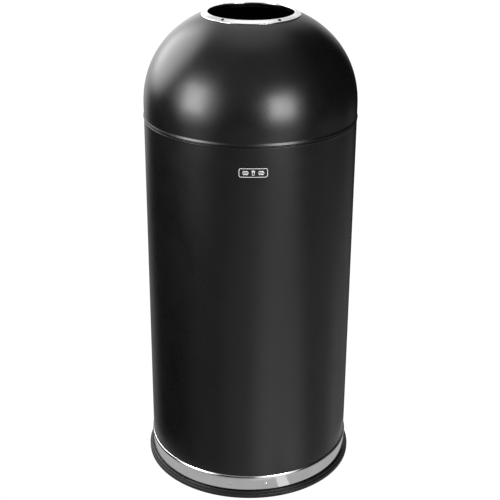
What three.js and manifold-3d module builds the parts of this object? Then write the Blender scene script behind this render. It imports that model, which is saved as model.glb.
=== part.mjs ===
// Litter bin: a round steel body on a plastic plinth, a lift-off dome with a round throw-in mouth,
// and a galvanised liner with a carrying bail.
// Millimetres, +Z up. The origin is the centre of the plinth's foot, and the nameplate faces -Y.

import * as THREE from 'three';
import { mergeVertices } from 'three/addons/utils/BufferGeometryUtils.js';
import Module from 'manifold-3d';

const wasm = await Module();
wasm.setup();

// ---------- Driving dimensions ----------

const GAP = 0.3;                    // left between two pieces that touch
const ROUND_SIDES = 40;             // facets round every large ring and shell
const SMALL_SIDES = 8;              // facets round a screw or rivet

const SHEET = 0.8;                  // thickness of the powder-coated steel
const BODY_R = 182;                 // outside of the body tube
const BODY_FOOT_Z = 4.5;            // lower edge of the tube, in the plinth's channel
const BODY_TOP_Z = 655.4;           // top of the tube's rolled rim
const BODY_RIM_R = 0.85;            // section radius of that rolled rim
const BODY_RIM_INSET = 0.25;        // from the tube's outer face in to the middle of the rim

const PLINTH_R = 190;
const PLINTH_FLANGE_H = 8;          // height of the lower, wider step
const PLINTH_STEP_R = 187;
const PLINTH_H = 11.6;
const PLINTH_FOOT_EDGE = 0.8;       // chamfer under the flange
const PLINTH_FLANGE_SLOPE = 1.4;    // how far the flange's top edge leans in
const PLINTH_FLANGE_DROP = 2.2;     // and the height it does so over
const PLINTH_TOP_EDGE = 1;
const PLINTH_INNER_R = 168;
const PLINTH_FLOOR_H = 4;           // thickness under the body's edge
const PLINTH_LIP_T = 2;             // the inner wall of the channel that holds the body's edge
const PLINTH_LIP_H = PLINTH_H - 2;
const PLINTH_POCKET_R = 4.4;        // pocket for a screw's head, in the foot
const PLINTH_POCKET_H = 2;

const PAN_WALL_H = 16;              // upright flange of the base pan
const PAN_STEP_R = 170.7;           // where the pan's raised floor steps down to its flange
const PAN_STEP_RUN = 1.2;           // how far that slanted wall leans out, each side of its middle
const PAN_STEP_HALF_T = 0.5;        // half of that wall's width on the level
const PAN_FLOOR_Z = 13;             // the liner stands on this

const BAND_T = 0.8;
const BAND_BOTTOM_Z = 12.9;
const BAND_TOP_Z = 42;
const BAND_BEAD_H = 5.4;
const BAND_BEAD_OUT = 1.1;          // how far the bead's crest stands proud of the band
const BAND_BEAD_CREST = 1.5;        // height of that crest above the bead's lower edge
const BAND_BEAD_SHOULDER = 0.8;     // share of that stand-out reached at half the crest's height

const DOME_EDGE_Z = 657.4;          // lower edge of the dome's hem
const DOME_SPRING_Z = 678.7;        // where the straight skirt turns into the curved crown
const DOME_RISE = 165.3;            // from there to the top of the full curve
const DOME_FULLNESS = 2.12;         // exponent of the superellipse: 2 is a plain ellipse
const HEM_R = 1.5;                  // section radius of the rolled hem
const HEM_INSET = 0.4;              // from the skirt's outer face in to the middle of the hem
const MOUTH_R = 72;                 // clear radius of the throw-in mouth
const MOUTH_CUT_R = 73.6;           // radius of the hole in the dome sheet

const COLLAR_R = 180;               // outside of the locating collar
const COLLAR_BOTTOM_Z = 632;
const COLLAR_TOP_Z = 674;
const COLLAR_RIB_R = 181.8;
const COLLAR_LEAD_IN = 1.5;         // how much narrower its lower edge is
const COLLAR_LEAD_H = 6;

const RING_OUT_R = 83.2;
const RING_T = 1.0;
const RING_EDGE = 0.5;              // chamfer of its upper edges
const RING_LIP_Z = 825.5;           // lower edge of the lip turned down into the mouth

const LINER_R = 168;
const LINER_T = 0.7;
const LINER_BOTTOM_Z = PAN_FLOOR_Z + GAP;
const LINER_TOP_Z = 640;            // top of the rolled rim
const CURL_R = 3.2;                 // section radius of the rolled rim
const CURL_START = 1.2;             // the wall starts to bend this far below the curl's middle
const RIM_WIRE_R = 2.0;
const LINER_FLOOR_Z = 19;

const EAR_ANGLES = { bail_ear_left: -90, bail_ear_right: 90 };
const EAR_W = 30;
const EAR_T = 2;
const EAR_BOTTOM_Z = 596;
const EAR_TOP_R = 8;                // round the bail's hole
const EAR_NECK = 6;                 // from the hinge axis down to where the top starts to widen
const EAR_SHOULDER = 26;            // from the hinge axis down to the full width
const EAR_RIVET_UP = 10;            // from the ear's lower edge
const EAR_RIVET_OUT = 8;            // each side of the ear's middle
const BAIL_Z = 646;                 // height of the bail's hinge axis
const BAIL_WIRE_R = 2.5;
const BAIL_BUTTON_R = 4;
const BAIL_BUTTON_T = 2.5;
const BAIL_BUTTON_PROUD = 0.5;      // how far a button stands past the end of its leg
const BAIL_LEG_OUT = 5;             // how far a leg reaches past the liner's wall
const BAIL_HALF_SPAN = 156;         // from the middle to each side of the bail's bow
const BAIL_BEND = 7;                // where a leg turns into the bow
const BAIL_REACH = 166;             // from the hinge axis to the middle of the grip
const GRIP_R = 5.6;
const GRIP_HALF_ARC = 18;           // degrees of the bail's bow on each side of the middle

const PLATE_W = 47;
const PLATE_H = 16;
const PLATE_T = 0.8;
const PLATE_CORNER_R = 3;
const BLANK_DEPTH = 12;             // of the flat blanks that the bent plates are cut from
const PLATE_Z = 615;
const PLATE_ANGLE = 1.6;            // degrees from the front towards +X

// Fasteners: radius and height of the head, radius of the shank, and length under the head.
const BAND_RIVET = { headR: 2.7, headH: 0.9, shankR: 1.5, length: 3.4 };
const PLINTH_SCREW = { headR: 3.8, headH: 1.4, shankR: 2, length: 7.5 };
const RING_SCREW = { headR: 2.8, headH: 1.3, shankR: 1.4, length: 6 };
const EAR_RIVET = { headR: 3.2, headH: 1.2, shankR: 1.5, length: 5 };
const HOLE_CLEARANCE = 0.4;         // between a shank and its hole
const CUTTER_REACH = 8;             // how far a hole's cutter runs each way from its wall
const RING_SCREW_LIFT = 0.1;        // keeps the flat heads clear of the ring's curved face
const HEAD_EDGE = 0.45;             // share of a head's height that is upright
const HEAD_FLAT = 0.7;              // share of a head's radius that is flat on top

const BAND_RIVET_ANGLES = [-10, 10, 170, 190];
const RING_SCREW_ANGLES = [-36, 36, 144, 216];
const PLINTH_SCREW_ANGLES = [45, 135, 225, 315];
const PLINTH_SCREW_R = 174.8;       // distance of those screws from the axis

// ---------- Colours and finishes ----------

const finish = (color, roughness, metalness) => (
  new THREE.MeshStandardMaterial({ color, roughness, metalness })
);
const blackCoat = finish(0x080809, 0.28, 0.0);
const polished = finish(0xd9d9da, 0.12, 1.0);
const galvanised = finish(0xa9adaf, 0.45, 1.0);
const plainSteel = finish(0x8f9294, 0.3, 1.0);
const blackPlastic = finish(0x121212, 0.4, 0.0);
const darkScrew = finish(0x2a2a2b, 0.35, 0.8);
const plateMetal = finish(0xc9cacb, 0.35, 0.6);

// ---------- Shape helpers ----------

const point = (x, y) => new THREE.Vector2(x, y);
const radians = THREE.MathUtils.degToRad;

// Points on an arc of a section, from one angle to another, both in degrees.
function arc(centreR, centreZ, radius, from, to, steps) {
  const points = [];
  for (let i = 0; i <= steps; i += 1) {
    const angle = radians(from + ((to - from) * i) / steps);
    points.push(point(centreR + radius * Math.cos(angle), centreZ + radius * Math.sin(angle)));
  }
  return points;
}

// A section of (radius, height) points turned about Z. It runs anticlockwise, outside going up.
function turned(section, sides = ROUND_SIDES) {
  return new THREE.LatheGeometry(section, sides).rotateX(Math.PI / 2);
}

// The same for a section that closes on itself.
const turnedRing = (section, sides = ROUND_SIDES) => turned([...section, section[0]], sides);

function asSolid(geometry) {
  const bare = geometry.clone();
  bare.deleteAttribute('normal');
  bare.deleteAttribute('uv');
  const merged = mergeVertices(bare, 1e-3);
  const corners = merged.index.array;
  const faces = [];
  for (let i = 0; i < corners.length; i += 3) {
    const [a, b, c] = corners.slice(i, i + 3);
    if (a !== b && b !== c && c !== a) faces.push(a, b, c);
  }
  return new wasm.Manifold(new wasm.Mesh({
    numProp: 3,
    vertProperties: merged.attributes.position.array,
    triVerts: new Uint32Array(faces),
  }));
}

function asGeometry(solid) {
  const mesh = solid.getMesh();
  const geometry = new THREE.BufferGeometry();
  geometry.setAttribute('position', new THREE.BufferAttribute(mesh.vertProperties, 3));
  geometry.setIndex(new THREE.BufferAttribute(mesh.triVerts, 1));
  const faceted = geometry.toNonIndexed();
  faceted.computeVertexNormals();
  return faceted;
}

function cut(geometry, tools) {
  const solid = tools.reduce((left, tool) => left.subtract(asSolid(tool)), asSolid(geometry));
  return asGeometry(solid);
}

const join = (geometries) => (
  asGeometry(geometries.map(asSolid).reduce((sum, part) => sum.add(part)))
);

// Angles round the bin are in degrees from the front (-Y), positive towards +X.
// Moves a shape made along its own Z, at the origin, so that its Z points outwards at that place,
// tipped up by `tilt` degrees.
function facingOut(geometry, angle, radius, z, tilt = 0) {
  return geometry
    .rotateX(Math.PI / 2 - radians(tilt))
    .translate(0, -radius, z)
    .rotateZ(radians(angle));
}

// Distance from the axis to the flat facet of a turned shape of that radius, at that angle.
function facetR(radius, angle) {
  const half = 180 / ROUND_SIDES;
  const fromMiddle = THREE.MathUtils.euclideanModulo(angle, 2 * half) - half;
  return (radius * Math.cos(radians(half))) / Math.cos(radians(fromMiddle));
}

const rod = (radius, from, to, sides = SMALL_SIDES) => (
  new THREE.CylinderGeometry(radius, radius, to - from, sides)
    .rotateX(Math.PI / 2)
    .translate(0, 0, (from + to) / 2)
);

// A fastener along Z: its domed head stands on z = 0 and its shank runs down to -length.
function fastener({ headR, headH, shankR, length }) {
  return turned([
    point(0, -length),
    point(shankR, -length),
    point(shankR, 0),
    point(headR, 0),
    point(headR, headH * HEAD_EDGE),
    point(headR * HEAD_FLAT, headH),
    point(0, headH),
  ], SMALL_SIDES);
}

// A cutter for that fastener's hole, along Z.
const holeFor = (kind) => rod(kind.shankR + HOLE_CLEARANCE, -CUTTER_REACH, CUTTER_REACH);

// ---------- The dome's curve ----------

// Height of the crown's outside surface at a radius.
function crownZ(r) {
  return DOME_SPRING_Z + DOME_RISE * (1 - (r / BODY_R) ** DOME_FULLNESS) ** (1 / DOME_FULLNESS);
}

// Points up the crown from the skirt to a radius, evenly spread in angle round the curve.
function crown(outerR, rise, endR, steps) {
  const power = 2 / DOME_FULLNESS;
  const endAngle = Math.acos((endR / outerR) ** (1 / power));
  return Array.from({ length: steps + 1 }, (_, i) => {
    const angle = (endAngle * i) / steps;
    return point(
      outerR * Math.cos(angle) ** power,
      DOME_SPRING_Z + rise * Math.sin(angle) ** power,
    );
  });
}

const ringMidR = (MOUTH_R + RING_OUT_R) / 2;
const ringSlope = THREE.MathUtils.radToDeg(
  Math.atan((crownZ(MOUTH_R) - crownZ(RING_OUT_R)) / (RING_OUT_R - MOUTH_R)),
);
const ringTopZ = (r) => crownZ(r) + GAP + RING_T;

// A tool or screw whose axis is square to the ring's sloping face.
const onRing = (geometry, angle) => (
  facingOut(geometry, angle, ringMidR, ringTopZ(ringMidR) + RING_SCREW_LIFT, 90 - ringSlope)
);

const ringHole = (angle) => onRing(holeFor(RING_SCREW), angle);

// ---------- Body ----------

function bodyShell() {
  const rimZ = BODY_TOP_Z - BODY_RIM_R;
  const straightTopZ = rimZ - 2 * BODY_RIM_R;
  const shell = turnedRing([
    point(BODY_R - SHEET, BODY_FOOT_Z),
    point(BODY_R, BODY_FOOT_Z),
    point(BODY_R, straightTopZ),
    ...arc(BODY_R - BODY_RIM_INSET, rimZ, BODY_RIM_R, -60, 240, 6),
    point(BODY_R - SHEET, straightTopZ),
  ]);
  return cut(shell, BAND_RIVET_ANGLES.map((angle) => bandHole(angle)));
}

const bandMidZ = (BAND_BOTTOM_Z + BAND_TOP_Z - BAND_BEAD_H) / 2;
const bandOuterR = BODY_R + GAP + BAND_T;

// The band's rivets pass through the band and the body tube.
function bandHole(angle) {
  return facingOut(holeFor(BAND_RIVET), angle, bandOuterR, bandMidZ);
}

function baseBand() {
  const inner = BODY_R + GAP;
  const beadBottomZ = BAND_TOP_Z - BAND_BEAD_H;
  const band = turnedRing([
    point(inner, BAND_BOTTOM_Z),
    point(bandOuterR, BAND_BOTTOM_Z),
    point(bandOuterR, beadBottomZ),
    point(bandOuterR + BAND_BEAD_OUT * BAND_BEAD_SHOULDER, beadBottomZ + BAND_BEAD_CREST / 2),
    point(bandOuterR + BAND_BEAD_OUT, beadBottomZ + BAND_BEAD_CREST),
    point(bandOuterR, BAND_TOP_Z - BAND_T),
    point(inner, BAND_TOP_Z),
  ]);
  return cut(band, BAND_RIVET_ANGLES.map((angle) => bandHole(angle)));
}

function bandRivet(angle) {
  return facingOut(fastener(BAND_RIVET), angle, facetR(bandOuterR, angle) + GAP, bandMidZ);
}

function plinthRing() {
  const channelOuter = BODY_R + GAP;
  const channelInner = BODY_R - SHEET - GAP;
  const ring = turnedRing([
    point(PLINTH_INNER_R, 0),
    point(PLINTH_R - PLINTH_FOOT_EDGE, 0),
    point(PLINTH_R, PLINTH_FOOT_EDGE),
    point(PLINTH_R, PLINTH_FLANGE_H - PLINTH_FLANGE_DROP),
    point(PLINTH_R - PLINTH_FLANGE_SLOPE, PLINTH_FLANGE_H),
    point(PLINTH_STEP_R, PLINTH_FLANGE_H),
    point(PLINTH_STEP_R, PLINTH_H - PLINTH_TOP_EDGE),
    point(PLINTH_STEP_R - PLINTH_TOP_EDGE, PLINTH_H),
    point(channelOuter, PLINTH_H),
    point(channelOuter, PLINTH_FLOOR_H),
    point(channelInner, PLINTH_FLOOR_H),
    point(channelInner, PLINTH_LIP_H),
    point(channelInner - PLINTH_LIP_T, PLINTH_LIP_H),
    point(channelInner - PLINTH_LIP_T, PLINTH_FLOOR_H),
    point(PLINTH_INNER_R, PLINTH_FLOOR_H),
  ]);
  const pocket = (angle) => (
    atPlinthScrew(rod(PLINTH_POCKET_R, -CUTTER_REACH, PLINTH_POCKET_H), angle)
  );
  return cut(ring, PLINTH_SCREW_ANGLES.flatMap((angle) => [pocket(angle), plinthHole(angle)]));
}

// Moves an upright shape to the place of the plinth screw at that angle.
const atPlinthScrew = (geometry, angle) => (
  geometry.translate(0, -PLINTH_SCREW_R, 0).rotateZ(radians(angle))
);

const plinthHole = (angle) => atPlinthScrew(holeFor(PLINTH_SCREW), angle);

// Its head sits in a pocket in the plinth's foot and its shank goes up into the base pan.
function plinthScrew(angle) {
  const upright = fastener(PLINTH_SCREW).rotateX(Math.PI).translate(0, 0, PLINTH_POCKET_H - GAP);
  return atPlinthScrew(upright, angle);
}

// The pan's flange stands against the inside of the tube, and its floor is stepped up inside.
function basePan() {
  const flangeR = BODY_R - SHEET - GAP;
  const channelR = flangeR - PLINTH_LIP_T - GAP;
  const lowZ = PLINTH_FLOOR_H + GAP;
  const shelfZ = PLINTH_LIP_H + GAP;
  const topZ = lowZ + PAN_WALL_H;
  const pan = turned([
    point(0, PAN_FLOOR_Z - SHEET),
    point(PAN_STEP_R - PAN_STEP_HALF_T - PAN_STEP_RUN, PAN_FLOOR_Z - SHEET),
    point(PAN_STEP_R - PAN_STEP_HALF_T + PAN_STEP_RUN, lowZ),
    point(channelR, lowZ),
    point(channelR, shelfZ),
    point(flangeR, shelfZ),
    point(flangeR, topZ),
    point(flangeR - SHEET, topZ),
    point(flangeR - SHEET, shelfZ + SHEET),
    point(channelR - SHEET, shelfZ + SHEET),
    point(channelR - SHEET, lowZ + SHEET),
    point(PAN_STEP_R + PAN_STEP_HALF_T + PAN_STEP_RUN, lowZ + SHEET),
    point(PAN_STEP_R + PAN_STEP_HALF_T - PAN_STEP_RUN, PAN_FLOOR_Z),
    point(0, PAN_FLOOR_Z),
  ]);
  return cut(pan, PLINTH_SCREW_ANGLES.map(plinthHole));
}

// A thin plate with rounded corners, bent to the body's radius.
function namePlate() {
  const corner = PLATE_CORNER_R;
  const w = PLATE_W / 2;
  const h = PLATE_H / 2;
  const outline = new THREE.Shape()
    .moveTo(-w + corner, -h)
    .lineTo(w - corner, -h)
    .absarc(w - corner, -h + corner, corner, -Math.PI / 2, 0)
    .absarc(w - corner, h - corner, corner, 0, Math.PI / 2)
    .absarc(-w + corner, h - corner, corner, Math.PI / 2, Math.PI)
    .absarc(-w + corner, -h + corner, corner, Math.PI, 1.5 * Math.PI);
  const block = new THREE.ExtrudeGeometry(outline, {
    depth: BLANK_DEPTH,
    bevelEnabled: false,
    curveSegments: 4,
  });
  const shell = turnedRing([
    point(BODY_R + GAP, PLATE_Z - PLATE_H),
    point(BODY_R + GAP + PLATE_T, PLATE_Z - PLATE_H),
    point(BODY_R + GAP + PLATE_T, PLATE_Z + PLATE_H),
    point(BODY_R + GAP, PLATE_Z + PLATE_H),
  ], ROUND_SIDES * 3);
  const placed = facingOut(block, PLATE_ANGLE, BODY_R - BLANK_DEPTH / 2, PLATE_Z);
  return asGeometry(asSolid(shell).intersect(asSolid(placed)));
}

// ---------- Dome ----------

function domeShell() {
  const outside = crown(BODY_R, DOME_RISE, MOUTH_CUT_R, 7);
  const inside = crown(BODY_R - SHEET, DOME_RISE - SHEET, MOUTH_CUT_R, 7).reverse();
  const hemZ = DOME_EDGE_Z + HEM_R;
  const shell = turnedRing([
    ...arc(BODY_R - HEM_INSET, hemZ, HEM_R, -125, 60, 5),
    ...outside,
    ...inside,
  ]);
  return cut(shell, RING_SCREW_ANGLES.map(ringHole));
}

// Plugs into the body. Its rib rests on the body's rim and carries the dome's hem.
function domeCollar() {
  const ribLowZ = BODY_TOP_Z + GAP;
  const ribHighZ = DOME_EDGE_Z - GAP;
  return turnedRing([
    point(COLLAR_R - SHEET - COLLAR_LEAD_IN, COLLAR_BOTTOM_Z),
    point(COLLAR_R - COLLAR_LEAD_IN, COLLAR_BOTTOM_Z),
    point(COLLAR_R, COLLAR_BOTTOM_Z + COLLAR_LEAD_H),
    point(COLLAR_R, ribLowZ),
    point(COLLAR_RIB_R, ribLowZ),
    point(COLLAR_RIB_R, ribHighZ),
    point(COLLAR_R, ribHighZ),
    point(COLLAR_R, COLLAR_TOP_Z),
    point(COLLAR_R - SHEET, COLLAR_TOP_Z),
    point(COLLAR_R - SHEET, COLLAR_BOTTOM_Z + COLLAR_LEAD_H),
  ]);
}

// Follows the crown round the mouth, with a lip turned down through it.
function trimRing() {
  const lipOuterR = MOUTH_R + RING_T;
  const low = (r) => crownZ(r) + GAP;
  const ring = turnedRing([
    point(MOUTH_R, RING_LIP_Z),
    point(lipOuterR, RING_LIP_Z),
    point(lipOuterR, low(lipOuterR)),
    point(ringMidR, low(ringMidR)),
    point(RING_OUT_R, low(RING_OUT_R)),
    point(RING_OUT_R, ringTopZ(RING_OUT_R) - RING_EDGE),
    point(RING_OUT_R - RING_EDGE, ringTopZ(RING_OUT_R)),
    point(ringMidR, ringTopZ(ringMidR)),
    point(MOUTH_R + RING_EDGE, ringTopZ(MOUTH_R)),
    point(MOUTH_R, ringTopZ(MOUTH_R) - RING_EDGE),
  ]);
  return cut(ring, RING_SCREW_ANGLES.map(ringHole));
}

const ringScrew = (angle) => onRing(fastener(RING_SCREW).translate(0, 0, GAP), angle);

// ---------- Liner ----------

function linerWall() {
  const curlR = LINER_R + CURL_R - LINER_T;
  const curlZ = LINER_TOP_Z - CURL_R;
  const wall = turnedRing([
    point(LINER_R - LINER_T, LINER_BOTTOM_Z),
    point(LINER_R, LINER_BOTTOM_Z),
    point(LINER_R, curlZ - CURL_START),
    ...arc(curlR, curlZ, CURL_R - LINER_T, 170, -110, 5),
    ...arc(curlR, curlZ, CURL_R, -110, 180, 6),
  ]);
  return cut(wall, earRivetAngles.map(earHole));
}

const rimWire = () => turnedRing(
  arc(LINER_R + CURL_R - LINER_T, LINER_TOP_Z - CURL_R, RIM_WIRE_R, 0, 300, 5),
);

// A pressed disc whose edge is turned down inside the wall, which lifts it off the pan.
function linerFloor() {
  const outer = LINER_R - LINER_T - GAP;
  return turned([
    point(0, LINER_FLOOR_Z - LINER_T),
    point(outer - LINER_T, LINER_FLOOR_Z - LINER_T),
    point(outer - LINER_T, LINER_BOTTOM_Z),
    point(outer, LINER_BOTTOM_Z),
    point(outer, LINER_FLOOR_Z),
    point(0, LINER_FLOOR_Z),
  ]);
}

// ---------- Bail ----------

const earOuterR = LINER_R - LINER_T - GAP;
const earRivetOffset = THREE.MathUtils.radToDeg(EAR_RIVET_OUT / LINER_R);
const earRivetZ = EAR_BOTTOM_Z + EAR_RIVET_UP;
const earRivetAngles = Object.values(EAR_ANGLES).flatMap((earAngle) => (
  [-1, 1].map((side) => earAngle + side * earRivetOffset)
));

function earHole(angle) {
  return facingOut(holeFor(EAR_RIVET), angle, LINER_R, earRivetZ);
}

// A plate that hugs the wall, narrows to a rounded top, and holds the bail's leg in a hole.
function bailEar(angle) {
  const halfW = EAR_W / 2;
  const outline = new THREE.Shape()
    .moveTo(-halfW, EAR_BOTTOM_Z - BAIL_Z)
    .lineTo(halfW, EAR_BOTTOM_Z - BAIL_Z)
    .lineTo(halfW, -EAR_SHOULDER)
    .lineTo(EAR_TOP_R, -EAR_NECK)
    .absarc(0, 0, EAR_TOP_R, 0, Math.PI)
    .lineTo(-EAR_TOP_R, -EAR_NECK)
    .lineTo(-halfW, -EAR_SHOULDER);
  const block = new THREE.ExtrudeGeometry(outline, {
    depth: BLANK_DEPTH,
    bevelEnabled: false,
    curveSegments: 6,
  });
  const shell = turnedRing([
    point(earOuterR - EAR_T, EAR_BOTTOM_Z - EAR_TOP_R),
    point(earOuterR, EAR_BOTTOM_Z - EAR_TOP_R),
    point(earOuterR, BAIL_Z + 2 * EAR_TOP_R),
    point(earOuterR - EAR_T, BAIL_Z + 2 * EAR_TOP_R),
  ], ROUND_SIDES);
  const placed = facingOut(block, angle, earOuterR - BLANK_DEPTH / 2, BAIL_Z);
  const plate = asSolid(shell).intersect(asSolid(placed));
  const rivetHoles = earRivetAngles
    .filter((rivetAngle) => Math.abs(rivetAngle - angle) < EAR_W)
    .map(earHole);
  const pivotHole = facingOut(rod(BAIL_WIRE_R + GAP, -CUTTER_REACH, CUTTER_REACH), angle, LINER_R, BAIL_Z);
  return cut(asGeometry(plate), [...rivetHoles, pivotHole]);
}

// Set from inside: the head bears on the ear and the shank is closed outside the wall.
function earRivet(angle) {
  const inward = fastener(EAR_RIVET).rotateX(Math.PI);
  return facingOut(inward, angle, facetR(earOuterR - EAR_T, angle) - GAP, earRivetZ);
}

// A point on the bail's bow, in degrees from the right leg round to the left one.
function onBow(degrees) {
  const angle = radians(degrees);
  return new THREE.Vector3(
    BAIL_HALF_SPAN * Math.cos(angle),
    BAIL_BEND + (BAIL_REACH - BAIL_BEND) * Math.sin(angle),
    BAIL_Z,
  );
}

const bowBetween = (from, to, steps) => new THREE.CatmullRomCurve3(
  Array.from({ length: steps + 1 }, (_, i) => onBow(from + ((to - from) * i) / steps)),
);

// The bail lies flat towards +Y. Each leg passes out through its ear and ends in a peened button.
function bailWire() {
  const legEnd = LINER_R + BAIL_LEG_OUT;
  const buttonR = legEnd + BAIL_BUTTON_PROUD - BAIL_BUTTON_T;
  const spot = (x, y) => new THREE.Vector3(x, y, BAIL_Z);
  const bendStart = BAIL_HALF_SPAN + BAIL_BEND;
  const bend = (side) => [
    spot(side * bendStart, 0),
    spot(side * BAIL_HALF_SPAN, 0),
    spot(side * BAIL_HALF_SPAN, BAIL_BEND),
  ];
  const path = new THREE.CurvePath();
  path.add(new THREE.LineCurve3(spot(legEnd, 0), spot(bendStart, 0)));
  path.add(new THREE.QuadraticBezierCurve3(...bend(1)));
  path.add(bowBetween(0, 180, 18));
  path.add(new THREE.QuadraticBezierCurve3(...bend(-1).reverse()));
  path.add(new THREE.LineCurve3(spot(-bendStart, 0), spot(-legEnd, 0)));
  const section = new THREE.Shape().absarc(0, 0, BAIL_WIRE_R, 0, 2 * Math.PI);
  const wire = new THREE.ExtrudeGeometry(section, {
    steps: 72,
    curveSegments: 4,
    extrudePath: path,
    bevelEnabled: false,
  });
  const button = (angle) => (
    facingOut(rod(BAIL_BUTTON_R, 0, BAIL_BUTTON_T), angle, buttonR, BAIL_Z)
  );
  return join([wire, ...Object.values(EAR_ANGLES).map(button)]);
}

// A moulded tube round the middle of the bow.
function bailGrip() {
  const section = new THREE.Shape().absarc(0, 0, GRIP_R, 0, 2 * Math.PI);
  section.holes.push(new THREE.Path().absarc(0, 0, BAIL_WIRE_R + GAP, 0, 2 * Math.PI, true));
  return new THREE.ExtrudeGeometry(section, {
    steps: 8,
    curveSegments: 5,
    extrudePath: bowBetween(90 - GRIP_HALF_ARC, 90 + GRIP_HALF_ARC, 6),
    bevelEnabled: false,
  });
}

// ---------- Assembly ----------

const bin = new THREE.Group();

function add(name, geometry, material) {
  const mesh = new THREE.Mesh(geometry, material);
  mesh.name = name;
  bin.add(mesh);
}

add('body_shell', bodyShell(), blackCoat);
add('base_pan', basePan(), blackCoat);
add('base_band', baseBand(), polished);
add('plinth_ring', plinthRing(), blackPlastic);
add('nameplate', namePlate(), plateMetal);
BAND_RIVET_ANGLES.forEach((angle, i) => add(`band_rivet_${i + 1}`, bandRivet(angle), polished));
PLINTH_SCREW_ANGLES.forEach((angle, i) => add(`plinth_screw_${i + 1}`, plinthScrew(angle), plainSteel));

add('dome_shell', domeShell(), blackCoat);
add('dome_collar', domeCollar(), blackCoat);
add('trim_ring', trimRing(), polished);
RING_SCREW_ANGLES.forEach((angle, i) => add(`ring_screw_${i + 1}`, ringScrew(angle), darkScrew));

add('liner_wall', linerWall(), galvanised);
add('liner_floor', linerFloor(), galvanised);
add('rim_wire', rimWire(), plainSteel);
Object.entries(EAR_ANGLES).forEach(([name, angle]) => add(name, bailEar(angle), galvanised));
earRivetAngles.forEach((angle, i) => add(`ear_rivet_${i + 1}`, earRivet(angle), plainSteel));

add('bail_wire', bailWire(), plainSteel);
add('bail_grip', bailGrip(), blackPlastic);

export default bin;
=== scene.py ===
"""The looks of a dome-top litter bin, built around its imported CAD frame.

Shapes are in millimetres, from the frame's own boxes and the sizes named below, and are turned into
metres when a mesh is made.
The bin's front, with the nameplate, faces -Y. Angles round the bin are in degrees from the front,
positive towards +X.
"""

import math

import bpy
from mathutils import Matrix, Vector

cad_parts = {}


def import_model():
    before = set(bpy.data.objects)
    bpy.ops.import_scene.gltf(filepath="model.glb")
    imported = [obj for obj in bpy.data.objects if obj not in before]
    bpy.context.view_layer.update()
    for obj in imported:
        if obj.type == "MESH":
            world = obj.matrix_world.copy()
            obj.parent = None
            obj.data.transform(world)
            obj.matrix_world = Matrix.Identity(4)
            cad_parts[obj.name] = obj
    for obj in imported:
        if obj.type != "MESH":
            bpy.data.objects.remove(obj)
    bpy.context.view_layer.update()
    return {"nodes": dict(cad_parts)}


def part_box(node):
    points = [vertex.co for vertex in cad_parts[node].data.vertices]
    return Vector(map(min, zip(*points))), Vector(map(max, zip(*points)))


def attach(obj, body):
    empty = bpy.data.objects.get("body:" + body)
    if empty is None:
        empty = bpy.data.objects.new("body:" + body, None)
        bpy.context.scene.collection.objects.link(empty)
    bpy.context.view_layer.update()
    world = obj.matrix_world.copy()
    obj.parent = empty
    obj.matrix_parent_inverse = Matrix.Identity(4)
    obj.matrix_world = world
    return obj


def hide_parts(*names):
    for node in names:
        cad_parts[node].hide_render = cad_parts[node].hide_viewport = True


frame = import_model()

MM = 0.001
SIDES = 192            # round the large shells and rings
SMALL_SIDES = 32       # round a screw, rivet or wire


# ---------- Sizes, in millimetres, from the frame ----------

def box_mm(node):
    low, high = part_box(node)
    return low / MM, high / MM


def highest(node):
    return box_mm(node)[1].z


def lowest(node):
    return box_mm(node)[0].z


def widest(node):
    return box_mm(node)[1].x


GAP = 0.3              # between two pieces that touch
SHEET = 0.8            # powder-coated steel
LINER_SHEET = 0.7

BODY_RIM_R = 0.85      # section radius of the tube's rolled rim
BODY_RIM_OUT = 0.3     # how far that rim stands out from the tube
BODY_R = 182.0
BODY_TOP = highest("body_shell")
BODY_FOOT = lowest("body_shell")
BODY_SEAM_HALF = 3.5
BODY_SEAM_H = 0.22

DOME_HEM_R = 1.5
DOME_HEM_INSET = 0.4   # from the skirt's outer face in to the middle of the hem
DOME_EDGE = lowest("dome_shell")
DOME_SPRING = 678.7    # where the dome's straight skirt turns into its crown
DOME_RISE = 165.3
DOME_FULLNESS = 2.12   # exponent of the crown's superellipse
MOUTH_CUT_R = 73.6
# The skirt just above the hem, as (outwards, up) steps from the hem's middle.
DOME_HEM_FADE = ((0.35, 2.4), (0.06, 3.3), (0, 3.7), (0, 4.5))
COLLAR_R = 180.0
COLLAR_LEAD_IN = 1.5   # how much narrower the collar's lower edge is
COLLAR_LEAD_H = 6.0

RING_OUT_R = widest("trim_ring")
RING_LIP = lowest("trim_ring")
MOUTH_R = 72.0
RING_T = 1.0
RING_ROLL = 1.2        # radius of the roll down into the mouth

PLINTH_R = widest("plinth_ring")
PLINTH_H = highest("plinth_ring")
PLINTH_STEP_R = 187.0
PLINTH_FLANGE_H = 8.0
PLINTH_DRAFT = 0.2     # how much narrower the flange is at the floor
PLINTH_FALL = 0.4      # how far its top falls towards the step, and leans out there
PLINTH_INNER_R = 168.0
PLINTH_FLOOR_H = 4.0
PLINTH_LIP_T = 2.0     # the channel's inner wall
PLINTH_LIP_H = PLINTH_H - 2
PLINTH_POCKET_R = 4.4  # pocket for a screw's head
PLINTH_POCKET_H = 2.0
PLINTH_SCREW_R = 174.8
PLINTH_SCREW_ANGLES = (45, 135, 225, 315)

BAND_BOTTOM = lowest("base_band")
BAND_TOP = highest("base_band")
BAND_T = 0.8
BAND_R = BODY_R + GAP + BAND_T
BAND_HEM_R = 0.5
BAND_BEAD_H = 5.4
BAND_BEAD_CREST = 1.5  # height of the bead's crest above its lower edge
BAND_SLOPE_R = 11.6    # the curve from that crest back to the tube
BAND_SLOPE = (14, 30)  # and the degrees that it runs through
BAND_RIVET_ANGLES = (-10, 10, 170, 190)

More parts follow.
